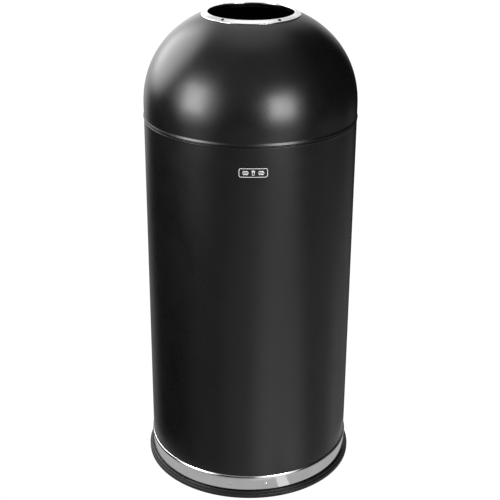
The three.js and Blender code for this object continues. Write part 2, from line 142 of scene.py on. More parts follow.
PAN_FLOOR = 13.0
PAN_STEP_R = 170.7
PAN_STEP_RUN = 1.2     # how far the slanted wall leans out, each side of its middle
PAN_STEP_HALF_T = 0.5
PAN_GROOVES = (62, 122)
PAN_GROOVE_DEPTH = 2.4
PAN_GROOVE_TOP_HALF = 6.0
PAN_GROOVE_FLOOR_HALF = 3.0

LINER_R = 168.0
LINER_BOTTOM = lowest("liner_wall")
LINER_TOP = highest("liner_wall")
LINER_FLOOR = highest("liner_floor")
CURL_R = 3.2
RIM_WIRE_R = 2.0
LINER_RIBS = (150.0, 480.0)
LINER_RIB_OUT = 1.1
LINER_RIB_FADE = 4.5   # from a rib's crest to where 37 percent of it is left
LINER_RIB_REACH = 12.0
LINER_SEAM_HALF = 4.5
LINER_SEAM_H = 0.7
FLOOR_DISH = 1.6       # depth of the pressed ring in the liner's floor
DISH_INNER = (70, 76)  # the radii where that ring's inner and outer slopes start and end
DISH_OUTER = (140, 146)

BAIL_Z = (highest("bail_wire") + lowest("bail_wire")) / 2
BAIL_WIRE_R = 2.5
BAIL_BUTTON_R = 4.0
BAIL_LEG_OUT = 5.0     # how far a leg reaches past the liner's wall
BAIL_HALF_SPAN = 156.0
BAIL_BEND = 7.0
BAIL_REACH = 166.0
GRIP_R = highest("bail_grip") - BAIL_Z
GRIP_HALF_ARC = 18
EAR_ANGLES = (-90, 90)
EAR_BOTTOM = lowest("bail_ear_left")
EAR_W = 30.0
EAR_T = 2.0
EAR_TOP_R = 8.0        # round the bail's hole
EAR_CORNER = 2.5
EAR_RIVET_UP = 10.0    # from the ear's lower edge
EAR_RIVET_OUT = 8.0    # each side of the ear's middle

PLATE_Z = (highest("nameplate") + lowest("nameplate")) / 2
PLATE_ANGLE = 1.6
PLATE_W = 47.0
PLATE_H = 16.0
PLATE_T = 0.8
PLATE_CORNER = 4.0
PLATE_LINE_W = 0.8
PLATE_LINE_T = 0.25    # how far the lines stand out from the plate
PLATE_EDGE = 0.5       # from the plate's edge to the border
BORDER_CORNER = 3.6
BAR_HALF_W = 5.0       # the middle bar; the others are 1 mm shorter at each end
BAR_HALF_H = 0.5
BAR_OUT = 12.5         # from the plate's middle to the bars' middle
BAR_APART = 2.6

BAND_RIVET = (2.7, 0.9, 1.5, 3.4)     # head radius and height, shank radius, length under the head
PLINTH_SCREW = (3.8, 1.4, 2.0, 7.5)
RING_SCREW = (2.8, 1.1, 1.4, 6.0)
EAR_RIVET = (3.2, 1.3, 1.5, 5.0)
HOLE_CLEARANCE = 0.4   # between a shank and its hole
RIVET_LIFT = 0.05      # between a rivet's head and its seat
RECESS_SLOT = 0.13     # half width of a cross recess's slots, as a share of the recess's width
RECESS_FLOOR = 0.35    # height of the recess's floor, as a share of the head's height

# ---------- Mesh helpers ----------

def spread(start, end, steps):
    return [start + (end - start) * i / steps for i in range(steps + 1)]


def arc(centre_r, centre_z, radius, start, end, steps=8):
    """Points of a section on an arc between two angles in degrees."""
    turns = [math.radians(a) for a in spread(start, end, steps)]
    return [(centre_r + radius * math.cos(a), centre_z + radius * math.sin(a)) for a in turns]


def rounded(corners, steps=4):
    """A section from (radius, height, easing) corners. The easing is how far a corner's curve reaches."""
    points = []
    for i, (r, z, easing) in enumerate(corners):
        here = Vector((r, z))
        if not easing:
            points.append((r, z))
            continue
        start = here + (Vector(corners[i - 1][:2]) - here).normalized() * easing
        end = here + (Vector(corners[(i + 1) % len(corners)][:2]) - here).normalized() * easing
        for t in spread(0, 1, steps):
            point = start * (1 - t) ** 2 + here * 2 * t * (1 - t) + end * t ** 2
            points.append((point.x, point.y))
    return points


def make(name, points, faces, sharp=40):
    """A mesh object from points in millimetres."""
    mesh = bpy.data.meshes.new(name)
    mesh.from_pydata([Vector(p) * MM for p in points], [], faces)
    mesh.shade_smooth()
    mesh.set_sharp_from_angle(angle=math.radians(sharp))
    piece = bpy.data.objects.new(name, mesh)
    bpy.context.scene.collection.objects.link(piece)
    return piece


def turned(name, section, sides=SIDES, extra_turns=(), swell=None):
    """A section of (radius, height) points turned about Z, going anticlockwise round its solid.

    A section that starts on the axis ends on it, and any other closes on itself. swell(turn, r, z) moves a
    point outwards, and extra_turns adds places round the circle for it, in radians."""
    open_section = section[0][0] == 0
    turns = sorted([2 * math.pi * i / sides for i in range(sides)] + list(extra_turns))
    points, rows, poles = [], [], {}
    for turn in turns:
        row = []
        for k, (r, z) in enumerate(section):
            if r == 0 and k in poles:
                row.append(poles[k])
                continue
            out = r + (swell(turn, r, z) if swell else 0)
            if r == 0:
                poles[k] = len(points)
            row.append(len(points))
            points.append((out * math.cos(turn), out * math.sin(turn), z))
        rows.append(row)
    steps = len(section) - 1 if open_section else len(section)
    faces = []
    for i, row in enumerate(rows):
        following = rows[(i + 1) % len(rows)]
        for k in range(steps):
            after = (k + 1) % len(section)
            corners = [row[k], following[k], following[after], row[after]]
            faces.append(list(dict.fromkeys(corners)))
    return make(name, points, faces)


def swept(name, path, radius, sides=SMALL_SIDES):
    """A round solid along a level path. radius is a function of the share of the way along."""
    points, rows = [], []
    up = Vector((0, 0, 1))
    for i, place in enumerate(path):
        ahead = Vector(path[min(i + 1, len(path) - 1)])
        behind = Vector(path[max(i - 1, 0)])
        side = (ahead - behind).normalized().cross(up)
        r = radius(i / (len(path) - 1))
        row = []
        for turn in spread(0, 2 * math.pi, sides)[:-1]:
            row.append(len(points))
            points.append(Vector(place) + (side * math.cos(turn) + up * math.sin(turn)) * r)
        rows.append(row)
    faces = [rows[0][::-1], rows[-1]]
    for row, following in zip(rows, rows[1:]):
        for k in range(sides):
            after = (k + 1) % sides
            faces.append([row[k], row[after], following[after], following[k]])
    return make(name, points, faces)


def facing_out(piece, angle, radius, z, tilt=0.0):
    """Puts a shape made along Z so that its Z points out from the bin there, tipped up by tilt degrees."""
    place = (
        Matrix.Rotation(math.radians(angle), 4, "Z")
        @ Matrix.Translation(Vector((0, -radius, z)) * MM)
        @ Matrix.Rotation(math.radians(90 - tilt), 4, "X")
    )
    piece.data.transform(place)
    return piece


def block(name, low, high):
    """A plain box between two corners, used as a cutter."""
    points = [(x, y, z) for x in (low[0], high[0]) for y in (low[1], high[1]) for z in (low[2], high[2])]
    faces = [(0, 1, 3, 2), (4, 6, 7, 5), (0, 4, 5, 1), (2, 3, 7, 6), (0, 2, 6, 4), (1, 5, 7, 3)]
    return make(name, points, faces)


def cut(piece, cutter):
    """Takes the cutter out of the piece, for good."""
    modifier = piece.modifiers.new("cut", "BOOLEAN")
    modifier.operation = "DIFFERENCE"
    modifier.solver = "EXACT"
    modifier.object = cutter
    bpy.context.view_layer.update()
    result = bpy.data.meshes.new_from_object(piece.evaluated_get(bpy.context.evaluated_depsgraph_get()))
    piece.modifiers.clear()
    piece.data = result
    result.shade_smooth()
    result.set_sharp_from_angle(angle=math.radians(30))
    bpy.data.objects.remove(cutter)
    return piece


def finish_piece(piece, body, slot, material, *nodes):
    """Gives a piece its finish and its body, and hides the CAD nodes that it stands for."""
    piece.data.materials.clear()
    piece.data.materials.append(material)
    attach(piece, body)
    if nodes:
        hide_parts(*nodes)
    return piece


# ---------- Materials ----------

class Recipe:
    """A material's node tree, with short calls to add and join nodes."""

    def __init__(self, name):
        self.material = bpy.data.materials.new(name)
        self.material.use_nodes = True
        self.tree = self.material.node_tree
        self.shader = self.tree.nodes["Principled BSDF"]
        self.place = self.tree.nodes.new("ShaderNodeTexCoord").outputs["Object"]

    def node(self, kind, **inputs):
        made = self.tree.nodes.new(kind)
        for socket, value in inputs.items():
            made.inputs[socket.replace("_", " ")].default_value = value
        return made

    def join(self, output, target):
        self.tree.links.new(output, target)

    def set(self, **values):
        for socket, value in values.items():
            self.shader.inputs[socket.replace("_", " ")].default_value = value

    def stretched(self, scale):
        """The object's own coordinates, scaled along each axis."""
        mapping = self.node("ShaderNodeMapping", Scale=scale)
        self.join(self.place, mapping.inputs["Vector"])
        return mapping.outputs["Vector"]

    def noise(self, scale, detail=3.0, roughness=0.5, place=None):
        made = self.node("ShaderNodeTexNoise", Scale=scale, Detail=detail, Roughness=roughness)
        self.join(place or self.place, made.inputs["Vector"])
        return made.outputs["Fac"]

    def ranged(self, value, low, high, target, start=0.3, end=0.7):
        """Carries a value's start..end range to low..high on a socket."""
        made = self.node("ShaderNodeMapRange")
        for socket, number in (("From Min", start), ("From Max", end), ("To Min", low), ("To Max", high)):
            made.inputs[socket].default_value = number
        self.join(value, made.inputs["Value"])
        self.join(made.outputs["Result"], target)

    def coloured(self, value, dark, light, start=0.3, end=0.7):
        """Carries a value to a colour between dark and light on the shader."""
        ramp = self.node("ShaderNodeValToRGB")
        ramp.color_ramp.elements[0].position = start
        ramp.color_ramp.elements[0].color = (*dark, 1)
        ramp.color_ramp.elements[1].position = end
        ramp.color_ramp.elements[1].color = (*light, 1)
        self.join(value, ramp.inputs["Fac"])
        self.join(ramp.outputs["Color"], self.shader.inputs["Base Color"])

    def bumped(self, value, depth, strength=1.0, below=None):
        """Bump of a real depth in metres, over any bump below it."""
        made = self.node("ShaderNodeBump", Strength=strength, Distance=depth)
        self.join(value, made.inputs["Height"])
        if below:
            self.join(below, made.inputs["Normal"])
        self.join(made.outputs["Normal"], self.shader.inputs["Normal"])
        return made.outputs["Normal"]


def black_coat():
    """Satin black powder coat: a fine orange peel over slow changes of gloss."""
    recipe = Recipe("black_coat")
    recipe.set(Specular_IOR_Level=0.5)
    slow = recipe.noise(9.0, detail=2.0)
    recipe.coloured(slow, (0.0022, 0.0022, 0.0024), (0.0030, 0.0030, 0.0032))
    recipe.ranged(recipe.noise(26.0, detail=4.0), 0.26, 0.31, recipe.shader.inputs["Roughness"])
    peel = recipe.bumped(recipe.noise(620.0, detail=1.5), 0.000012)
    recipe.bumped(recipe.noise(2600.0, detail=1.0), 0.000004, below=peel)
    return recipe.material


def polished_steel():
    """Polished stainless steel with faint polishing lines round the bin."""
    recipe = Recipe("polished_steel")
    recipe.set(Metallic=1.0)
    lines = recipe.noise(1.0, detail=3.0, place=recipe.stretched((14.0, 14.0, 5200.0)))
    recipe.coloured(recipe.noise(35.0), (0.74, 0.74, 0.75), (0.80, 0.80, 0.81))
    recipe.ranged(lines, 0.09, 0.17, recipe.shader.inputs["Roughness"])
    recipe.bumped(lines, 0.0000022)
    return recipe.material


def black_plastic():
    """Moulded black plastic with a fine spark-eroded grain."""
    recipe = Recipe("black_plastic")
    recipe.set(Specular_IOR_Level=0.35)
    recipe.coloured(recipe.noise(30.0), (0.0045, 0.0045, 0.0047), (0.0065, 0.0065, 0.0067))
    recipe.ranged(recipe.noise(60.0, detail=4.0), 0.38, 0.48, recipe.shader.inputs["Roughness"])
    recipe.bumped(recipe.noise(1900.0, detail=2.0), 0.00002)
    return recipe.material


def galvanised():
    """Hot-dip galvanised sheet: angular spangles, each with its own grey and gloss."""
    recipe = Recipe("galvanised")
    recipe.set(Metallic=1.0)
    spangle = recipe.node("ShaderNodeTexVoronoi", Scale=95.0, Randomness=1.0)
    recipe.join(recipe.place, spangle.inputs["Vector"])
    split = recipe.node("ShaderNodeSeparateColor")
    recipe.join(spangle.outputs["Color"], split.inputs["Color"])
    recipe.coloured(split.outputs["Red"], (0.44, 0.46, 0.47), (0.62, 0.64, 0.65), 0.0, 1.0)
    recipe.ranged(split.outputs["Green"], 0.28, 0.46, recipe.shader.inputs["Roughness"], 0.0, 1.0)
    recipe.bumped(recipe.noise(420.0, detail=4.0), 0.00002)
    return recipe.material


def zinc_steel():
    """Bright zinc-plated wire and screws, with a faint drawn grain."""
    recipe = Recipe("zinc_steel")
    recipe.set(Metallic=1.0)
    recipe.coloured(recipe.noise(180.0), (0.52, 0.53, 0.54), (0.62, 0.63, 0.64))
    recipe.ranged(recipe.noise(90.0), 0.24, 0.36, recipe.shader.inputs["Roughness"])
    recipe.bumped(recipe.noise(1500.0, detail=2.0), 0.00001)
    return recipe.material


def dark_screw():
    """Dark steel screw heads, much darker than the polished ring round them."""
    recipe = Recipe("dark_screw")
    recipe.set(Metallic=1.0)
    recipe.coloured(recipe.noise(400.0), (0.045, 0.045, 0.048), (0.075, 0.075, 0.08))
    recipe.ranged(recipe.noise(300.0), 0.28, 0.4, recipe.shader.inputs["Roughness"])
    recipe.bumped(recipe.noise(2200.0), 0.000008)
    return recipe.material


def plate_enamel():
    """Black enamel filled round the nameplate's raised lines."""
    recipe = Recipe("plate_enamel")
    recipe.set(Specular_IOR_Level=0.5)
    recipe.coloured(recipe.noise(160.0), (0.004, 0.004, 0.0042), (0.006, 0.006, 0.0062))
    recipe.ranged(recipe.noise(120.0), 0.26, 0.34, recipe.shader.inputs["Roughness"])
    recipe.bumped(recipe.noise(900.0), 0.000006)
    return recipe.material


def plate_lines():
    """The nameplate's raised lines, in pale satin aluminium."""
    recipe = Recipe("plate_lines")
    recipe.set(Metallic=0.2)
    recipe.coloured(recipe.noise(500.0), (0.70, 0.70, 0.71), (0.78, 0.78, 0.79))
    recipe.ranged(recipe.noise(700.0), 0.32, 0.42, recipe.shader.inputs["Roughness"])
    recipe.bumped(recipe.noise(2500.0), 0.000006)
    return recipe.material


COAT = black_coat()
POLISHED = polished_steel()
PLASTIC = black_plastic()
GALVANISED = galvanised()
ZINC = zinc_steel()
DARK_SCREW = dark_screw()
ENAMEL = plate_enamel()
LINES = plate_lines()


# ---------- Body ----------

BACK_TURN = math.pi / 2            # radians round Z to the back of the bin, +Y


def near_back(radius, half_width, steps=6):
    """Extra places round the circle, close to the back, for a seam of that half width."""
    return [BACK_TURN + offset / radius for offset in spread(-half_width, half_width, 2 * steps) if offset]


def ridge(turn, radius, half_width, height):
    """A smooth ridge along the back, as high as height at its middle."""
    offset = (turn - BACK_TURN) * radius / half_width
    return height * math.cos(offset * math.pi / 2) ** 2 if abs(offset) < 1 else 0.0


def body_shell():
    rim_z = BODY_TOP - BODY_RIM_R
    places = near_back(BODY_R, BODY_SEAM_HALF)

    def seam(turn, r, z):
        on_wall = r > BODY_R - 0.01 and z < rim_z - 1
        return ridge(turn, BODY_R, BODY_SEAM_HALF, BODY_SEAM_H) if on_wall else 0.0

    section = [
        (BODY_R - SHEET, BODY_FOOT),
        (BODY_R, BODY_FOOT),
        *[(BODY_R, rim_z - below) for below in (6, 2.2, 1.6)],
        *arc(BODY_R + BODY_RIM_OUT - BODY_RIM_R, rim_z, BODY_RIM_R, -44, 228, 18),
    ]
    shell = turned("body_shell_skin", section, extra_turns=places, swell=seam)
    finish_piece(shell, "body", "black_coat", COAT, "body_shell")


def base_pan():
    """Pressed floor with two stiffening grooves."""
    underside = PLINTH_FLOOR_H + GAP
    channel = BODY_R - SHEET - 2 * GAP - PLINTH_LIP_T
    flange = BODY_R - SHEET - GAP
    lower = PAN_FLOOR - SHEET
    shelf = PLINTH_LIP_H + GAP
    top = highest("base_pan")
    wall_in = PAN_STEP_R - PAN_STEP_HALF_T
    wall_out = PAN_STEP_R + PAN_STEP_HALF_T

    def floor_line(height, outward):
        groove_z = height - PAN_GROOVE_DEPTH
        line = [(0, height, 0)]
        for middle in PAN_GROOVES:
            line += [
                (middle - PAN_GROOVE_TOP_HALF, height, 1.5),
                (middle - PAN_GROOVE_FLOOR_HALF, groove_z, 1.5),
                (middle + PAN_GROOVE_FLOOR_HALF, groove_z, 1.5),
                (middle + PAN_GROOVE_TOP_HALF, height, 1.5),
            ]
        return line if outward else line[::-1]

    section = rounded([
        *floor_line(lower, True),
        (wall_in - PAN_STEP_RUN, lower, 1.2),
        (wall_in + PAN_STEP_RUN, underside, 1.2),
        (channel, underside, 0.8),
        (channel, shelf, 0.6),
        (flange, shelf, 0.6),
        (flange, top, 0.2),
        (flange - SHEET, top, 0.2),
        (flange - SHEET, shelf + SHEET, 0.6),
        (channel - SHEET, shelf + SHEET, 0.6),
        (channel - SHEET, underside + SHEET, 0.8),
        (wall_out + PAN_STEP_RUN, underside + SHEET, 1.2),
        (wall_out - PAN_STEP_RUN, PAN_FLOOR, 1.2),
        *floor_line(PAN_FLOOR, False),
    ])
    finish_piece(turned("base_pan_pressing", section), "body", "black_coat", COAT, "base_pan")


def base_band():
    """Polished strip with a rolled bead along its top and a small hem along its bottom."""
    inner = BODY_R + GAP
    bead_low = BAND_TOP - BAND_BEAD_H
    crest_z = bead_low + BAND_BEAD_CREST
    crest_r = widest("base_band")
    start = math.radians(BAND_SLOPE[0])
    slope_centre_r = crest_r - BAND_SLOPE_R * math.cos(start)
    slope_centre_z = crest_z + 0.3 - BAND_SLOPE_R * math.sin(start)
    section = [
        (inner, BAND_BOTTOM + 0.4),
        *arc(BAND_R - BAND_HEM_R, BAND_BOTTOM + BAND_HEM_R, BAND_HEM_R, -90, 0, 6),
        (BAND_R, BAND_BOTTOM + 2.2),
        (BAND_R, bead_low),
        (BAND_R + 0.25, bead_low + 0.15),
        (crest_r - 0.25, crest_z - 0.7),
        (crest_r - 0.06, crest_z - 0.35),
        (crest_r, crest_z),
        *arc(slope_centre_r, slope_centre_z, BAND_SLOPE_R, *BAND_SLOPE),
        (inner, BAND_TOP - 0.1),
    ]
    finish_piece(turned("base_band_strip", section), "body", "polished_steel", POLISHED, "base_band")


def rivet_section(head_r, head_h, shank_r, length):
    """A fastener along Z with a domed head standing on z = 0, as an open section."""
    dome = [
        (head_r * math.cos(t), head_h * (0.25 + 0.75 * math.sin(t)))
        for t in spread(0, math.pi / 2, 8)[:-1]
    ]
    return [(0, -length), (shank_r, -length), (shank_r, 0), (head_r, 0), *dome, (0, head_h)]


def band_rivets():
    middle = (BAND_BOTTOM + BAND_TOP - BAND_BEAD_H) / 2
    for i, angle in enumerate(BAND_RIVET_ANGLES, 1):
        rivet = turned(f"band_rivet_{i}_domed", rivet_section(*BAND_RIVET), SMALL_SIDES)
        facing_out(rivet, angle, BAND_R + RIVET_LIFT, middle)
        finish_piece(rivet, "body", "polished_steel", POLISHED, f"band_rivet_{i}")


def plinth_ring():
    """Stepped plastic ring with eased edges and a channel for the tube's lower edge."""
    outer_wall = BODY_R + GAP
    inner_wall = BODY_R - SHEET - GAP
    section = rounded([
        (PLINTH_INNER_R, 0, 0.4),
        (PLINTH_R - PLINTH_DRAFT, 0, 0.9),
        (PLINTH_R, PLINTH_FLANGE_H, 2.4),
        (PLINTH_STEP_R + PLINTH_FALL, PLINTH_FLANGE_H - PLINTH_FALL, 0.5),
        (PLINTH_STEP_R, PLINTH_H, 1.3),
        (outer_wall, PLINTH_H - 0.4, 0.4),
        (outer_wall, PLINTH_FLOOR_H, 0),
        (inner_wall, PLINTH_FLOOR_H, 0),
        (inner_wall, PLINTH_LIP_H, 0.4),
        (inner_wall - PLINTH_LIP_T, PLINTH_LIP_H, 0.4),
        (inner_wall - PLINTH_LIP_T, PLINTH_FLOOR_H, 0.4),
        (PLINTH_INNER_R, PLINTH_FLOOR_H, 0.4),
    ])
    ring = turned("plinth_ring_moulding", section)
    hole_r = PLINTH_SCREW[2] + HOLE_CLEARANCE
    pocket_section = [
        (0, -1),
        (PLINTH_POCKET_R, -1),
        (PLINTH_POCKET_R, PLINTH_POCKET_H),
        (hole_r, PLINTH_POCKET_H),
        (hole_r, 2 * PLINTH_FLOOR_H),
        (0, 2 * PLINTH_FLOOR_H),
    ]
    for angle in PLINTH_SCREW_ANGLES:
        pocket = turned("pocket", pocket_section, SMALL_SIDES)
        pocket.data.transform(
            Matrix.Rotation(math.radians(angle), 4, "Z")
            @ Matrix.Translation((0, -PLINTH_SCREW_R * MM, 0))
        )
        cut(ring, pocket)
    finish_piece(ring, "body", "black_plastic", PLASTIC, "plinth_ring")


def cross_headed(name, head_r, head_h, shank_r, length, recess):
    """A pan-head screw along Z with a cross recess as wide across as recess."""
    screw = turned(name, rivet_section(head_r, head_h, shank_r, length), SMALL_SIDES)
    narrow = recess * RECESS_SLOT
    floor_z = head_h * RECESS_FLOOR
    for half_x, half_y in ((recess / 2, narrow), (narrow, recess / 2)):
        cut(screw, block("slot", (-half_x, -half_y, floor_z), (half_x, half_y, head_h + 1)))
    return screw


def plinth_screws():
    for i, angle in enumerate(PLINTH_SCREW_ANGLES, 1):
        screw = cross_headed(f"plinth_screw_{i}_pan_head", *PLINTH_SCREW, recess=4.2)
        screw.data.transform(
            Matrix.Rotation(math.radians(angle), 4, "Z")
            @ Matrix.Translation(Vector((0, -PLINTH_SCREW_R, PLINTH_POCKET_H - GAP)) * MM)
            @ Matrix.Rotation(math.pi, 4, "X")
        )
        finish_piece(screw, "body", "zinc_steel", ZINC, f"plinth_screw_{i}")


# ---------- Nameplate ----------

def rounded_outline(half_w, half_h, corner, steps=6):
    """Points anticlockwise round a rectangle with rounded corners."""
    points = []
    for start, x, y in ((-90, 1, -1), (0, 1, 1), (90, -1, 1), (180, -1, -1)):
        points += arc(x * (half_w - corner), y * (half_h - corner), corner, start, start + 90, steps)
    return points


def bent_to_body(name, outline, base, top, hole=None):
    """A flat shape bent round the front of the body, from radius base to radius top.

    The outline and its hole have equal numbers of points. A shape without a hole is eased towards its
    middle."""
    easing = min(0.12, (top - base) * 0.4)
    middle = Vector((sum(p[0] for p in outline), sum(p[1] for p in outline))) / len(outline)
    inner = hole or [tuple(middle.lerp(Vector(p), 0.5)) for p in outline]

    def shrunk(line, towards, amount):
        pairs = [(Vector(p), Vector(q)) for p, q in zip(line, towards)]
        return [tuple(p + (q - p).normalized() * amount) for p, q in pairs]

    rings = [(outline, base), (outline, top - easing), (shrunk(outline, inner, easing), top)]
    if hole:
        rings += [(shrunk(hole, outline, easing), top), (hole, top - easing), (hole, base)]
    points, rows = [], []
    for line, radius in rings:
        row = []
        for x, y in line:
            turn = math.radians(PLATE_ANGLE) + x / BODY_R
            row.append(len(points))
            points.append((radius * math.sin(turn), -radius * math.cos(turn), PLATE_Z + y))
        rows.append(row)
    pairs = list(zip(rows, rows[1:]))
    if hole:
        pairs.append((rows[-1], rows[0]))
    faces = []
    for row, following in pairs:
        for k in range(len(row)):
            after = (k + 1) % len(row)
            faces.append([row[k], row[after], following[after], following[k]])
    if not hole:
        faces += [rows[-1], rows[0][::-1]]
    return make(name, points, faces, sharp=50)


def with_split_sides(outline, steps_for):
    """Adds points along straight sides, so that a wide shape can bend. steps_for(length) says how many."""
    points = []
    for here, after in zip(outline, outline[1:] + outline[:1]):
        steps = steps_for((Vector(after) - Vector(here)).length)
        points += [tuple(Vector(here).lerp(Vector(after), k / steps)) for k in range(steps)]
    return points


def ribbon_plate(name, half_w, half_h, corner, base, top):
    """The plate itself: a grid of strips across its width, so that it bends smoothly."""
    ends = {round(x, 4) for x, _ in rounded_outline(half_w, half_h, corner)}
    middle = {round(x, 4) for x in spread(-half_w + corner, half_w - corner, 24)}
    columns = sorted(ends | middle)

    def edge(x):
        past = abs(x) - (half_w - corner)
        return half_h if past <= 0 else half_h - corner + math.sqrt(max(corner ** 2 - past ** 2, 0))

    points, rows = [], []
    for x in columns:
        turn = math.radians(PLATE_ANGLE) + x / BODY_R
        row = []
        for radius, y in ((base, -edge(x)), (top, -edge(x)), (top, edge(x)), (base, edge(x))):
            row.append(len(points))
            points.append((radius * math.sin(turn), -radius * math.cos(turn), PLATE_Z + y))
        rows.append(row)
    faces = [rows[0], rows[-1][::-1]]
    for row, following in zip(rows, rows[1:]):
        for k in range(4):
            after = (k + 1) % 4
            faces.append([row[k], following[k], following[after], row[after]])
    return make(name, points, faces)


def nameplate():
    """A generic plate: a rounded border round a plain litter-bin pictogram and two sets of bars."""
    face = BODY_R + GAP + PLATE_T
    plate = ribbon_plate("nameplate_base", PLATE_W / 2, PLATE_H / 2, PLATE_CORNER, BODY_R + GAP, face)
    finish_piece(plate, "body", "plate", ENAMEL, "nameplate")

    def raised(name, outline, hole=None):
        shape = bent_to_body(name, outline, face + 0.01, face + PLATE_LINE_T, hole)
        finish_piece(shape, "body", "plate", LINES)

    def border(inset):
        """The same number of points at any inset: only the straight sides are split."""
        half_w = PLATE_W / 2 - PLATE_EDGE - inset
        half_h = PLATE_H / 2 - PLATE_EDGE - inset
        outline = rounded_outline(half_w, half_h, BORDER_CORNER - inset)
        return with_split_sides(outline, lambda length: 24 if length > 5 else 1)

    raised("nameplate_border", border(0), border(PLATE_LINE_W))
    for side, label in ((-1, "left"), (1, "right")):
        for row in (-1, 0, 1):
            bar = rounded_outline(BAR_HALF_W - abs(row), BAR_HALF_H, 0.9 * BAR_HALF_H, 3)
            shifted = [(x + side * BAR_OUT, y + row * BAR_APART) for x, y in bar]
            split = with_split_sides(shifted, lambda length: max(1, math.ceil(length / 2)))
            raised(f"nameplate_bar_{label}_{row + 2}", split)
    tub = [(-2.3, 1.7), (-1.8, -4.0), (1.8, -4.0), (2.3, 1.7)]
    tub_inside = [(-1.5, 0.9), (-1.1, -3.2), (1.1, -3.2), (1.5, 0.9)]
    raised("nameplate_tub", tub, tub_inside)
    lid = [(-3.2, 2.3), (3.2, 2.3), (2.4, 3.4), (1.0, 4.0), (-1.0, 4.0), (-2.4, 3.4)]
    raised("nameplate_lid", lid)


# ---------- Dome ----------

def crown_z(r):
    """Height of the crown's outside surface at a radius."""
    return DOME_SPRING + DOME_RISE * (1 - (r / BODY_R) ** DOME_FULLNESS) ** (1 / DOME_FULLNESS)


def crown(outer_r, rise, end_r, steps):
    """Points up the crown from the skirt to a radius, evenly spread in angle."""
    power = 2 / DOME_FULLNESS
    last = math.acos((end_r / outer_r) ** (1 / power))
    return [
        (outer_r * math.cos(t) ** power, DOME_SPRING + rise * math.sin(t) ** power)
        for t in spread(0, last, steps)
    ]


def dome_shell():
    hem_z = DOME_EDGE + DOME_HEM_R
    section = [
        *arc(BODY_R - DOME_HEM_INSET, hem_z, DOME_HEM_R, -140, 18, 14),
        *[(BODY_R + out, hem_z + up) for out, up in DOME_HEM_FADE],
        *crown(BODY_R, DOME_RISE, MOUTH_CUT_R, 56),
        *crown(BODY_R - SHEET, DOME_RISE - SHEET, MOUTH_CUT_R, 56)[::-1],
        (BODY_R - SHEET, hem_z + 2.5),
    ]
    finish_piece(turned("dome_shell_skin", section), "dome", "black_coat", COAT, "dome_shell")


def dome_collar():
    """Ring that plugs into the body, with the rib that rests on the body's rim."""
    low, high = box_mm("dome_collar")
    rib_low = BODY_TOP + GAP
    rib_high = DOME_EDGE - GAP
    inner = COLLAR_R - SHEET
    lead_top = low.z + COLLAR_LEAD_H
    section = rounded([
        (inner - COLLAR_LEAD_IN, low.z, 0.2),
        (COLLAR_R - COLLAR_LEAD_IN, low.z, 0.2),
        (COLLAR_R, lead_top, 1.5),
        (COLLAR_R, rib_low, 0.3),
        (high.x, rib_low, 0.4),
        (high.x, rib_high, 0.4),
        (COLLAR_R, rib_high, 0.3),
        (COLLAR_R, high.z, 0.2),
        (inner, high.z, 0.2),
        (inner, lead_top, 1.5),
    ])
    finish_piece(turned("dome_collar_ring", section), "dome", "black_coat", COAT, "dome_collar")


RING_MID_R = (MOUTH_R + RING_OUT_R) / 2
RING_FALL = crown_z(MOUTH_R) - crown_z(RING_OUT_R)
RING_SLOPE = math.degrees(math.atan(RING_FALL / (RING_OUT_R - MOUTH_R)))


def ring_top(r):
    return crown_z(r) + GAP + RING_T


def trim_ring():
    """Polished ring: a flat face, an eased outer edge, and a wide roll down into the mouth."""
    lip_outer = MOUTH_R + RING_T
    roll_r = MOUTH_R + RING_ROLL
    roll_z = ring_top(roll_r) - RING_ROLL / math.cos(math.radians(RING_SLOPE))

    def low(r):
        return (r, crown_z(r) + GAP)

    def face(r):
        return (r, ring_top(r))

    section = [
        (MOUTH_R + 0.3, RING_LIP),
        (lip_outer - 0.3, RING_LIP),
        (lip_outer, RING_LIP + 0.4),
        low(lip_outer),
        low(RING_MID_R),
        low(RING_OUT_R - 0.4),
        (RING_OUT_R, crown_z(RING_OUT_R) + GAP + 0.3),
        (RING_OUT_R, ring_top(RING_OUT_R) - 0.6),
        (RING_OUT_R - 0.2, ring_top(RING_OUT_R) - 0.2),
        face(RING_OUT_R - 0.7),
        face(RING_OUT_R - 1.1),
        face(RING_MID_R),
        *arc(roll_r, roll_z, RING_ROLL, 90 - RING_SLOPE, 180, 10),
        (MOUTH_R, RING_LIP + 0.4),
    ]
    finish_piece(turned("trim_ring_polished", section), "dome", "polished_steel", POLISHED, "trim_ring")


def ring_screws():
    for node in sorted(name for name in frame["nodes"] if name.startswith("ring_screw_")):
        low, high = box_mm(node)
        middle = (low + high) / 2
        angle = math.degrees(math.atan2(middle.x, -middle.y))
        screw = cross_headed(f"{node}_pan_head", *RING_SCREW, recess=3.0)
        facing_out(screw, angle, RING_MID_R, ring_top(RING_MID_R), 90 - RING_SLOPE)
        finish_piece(screw, "dome", "dark_screw", DARK_SCREW, node)


# ---------- Liner ----------

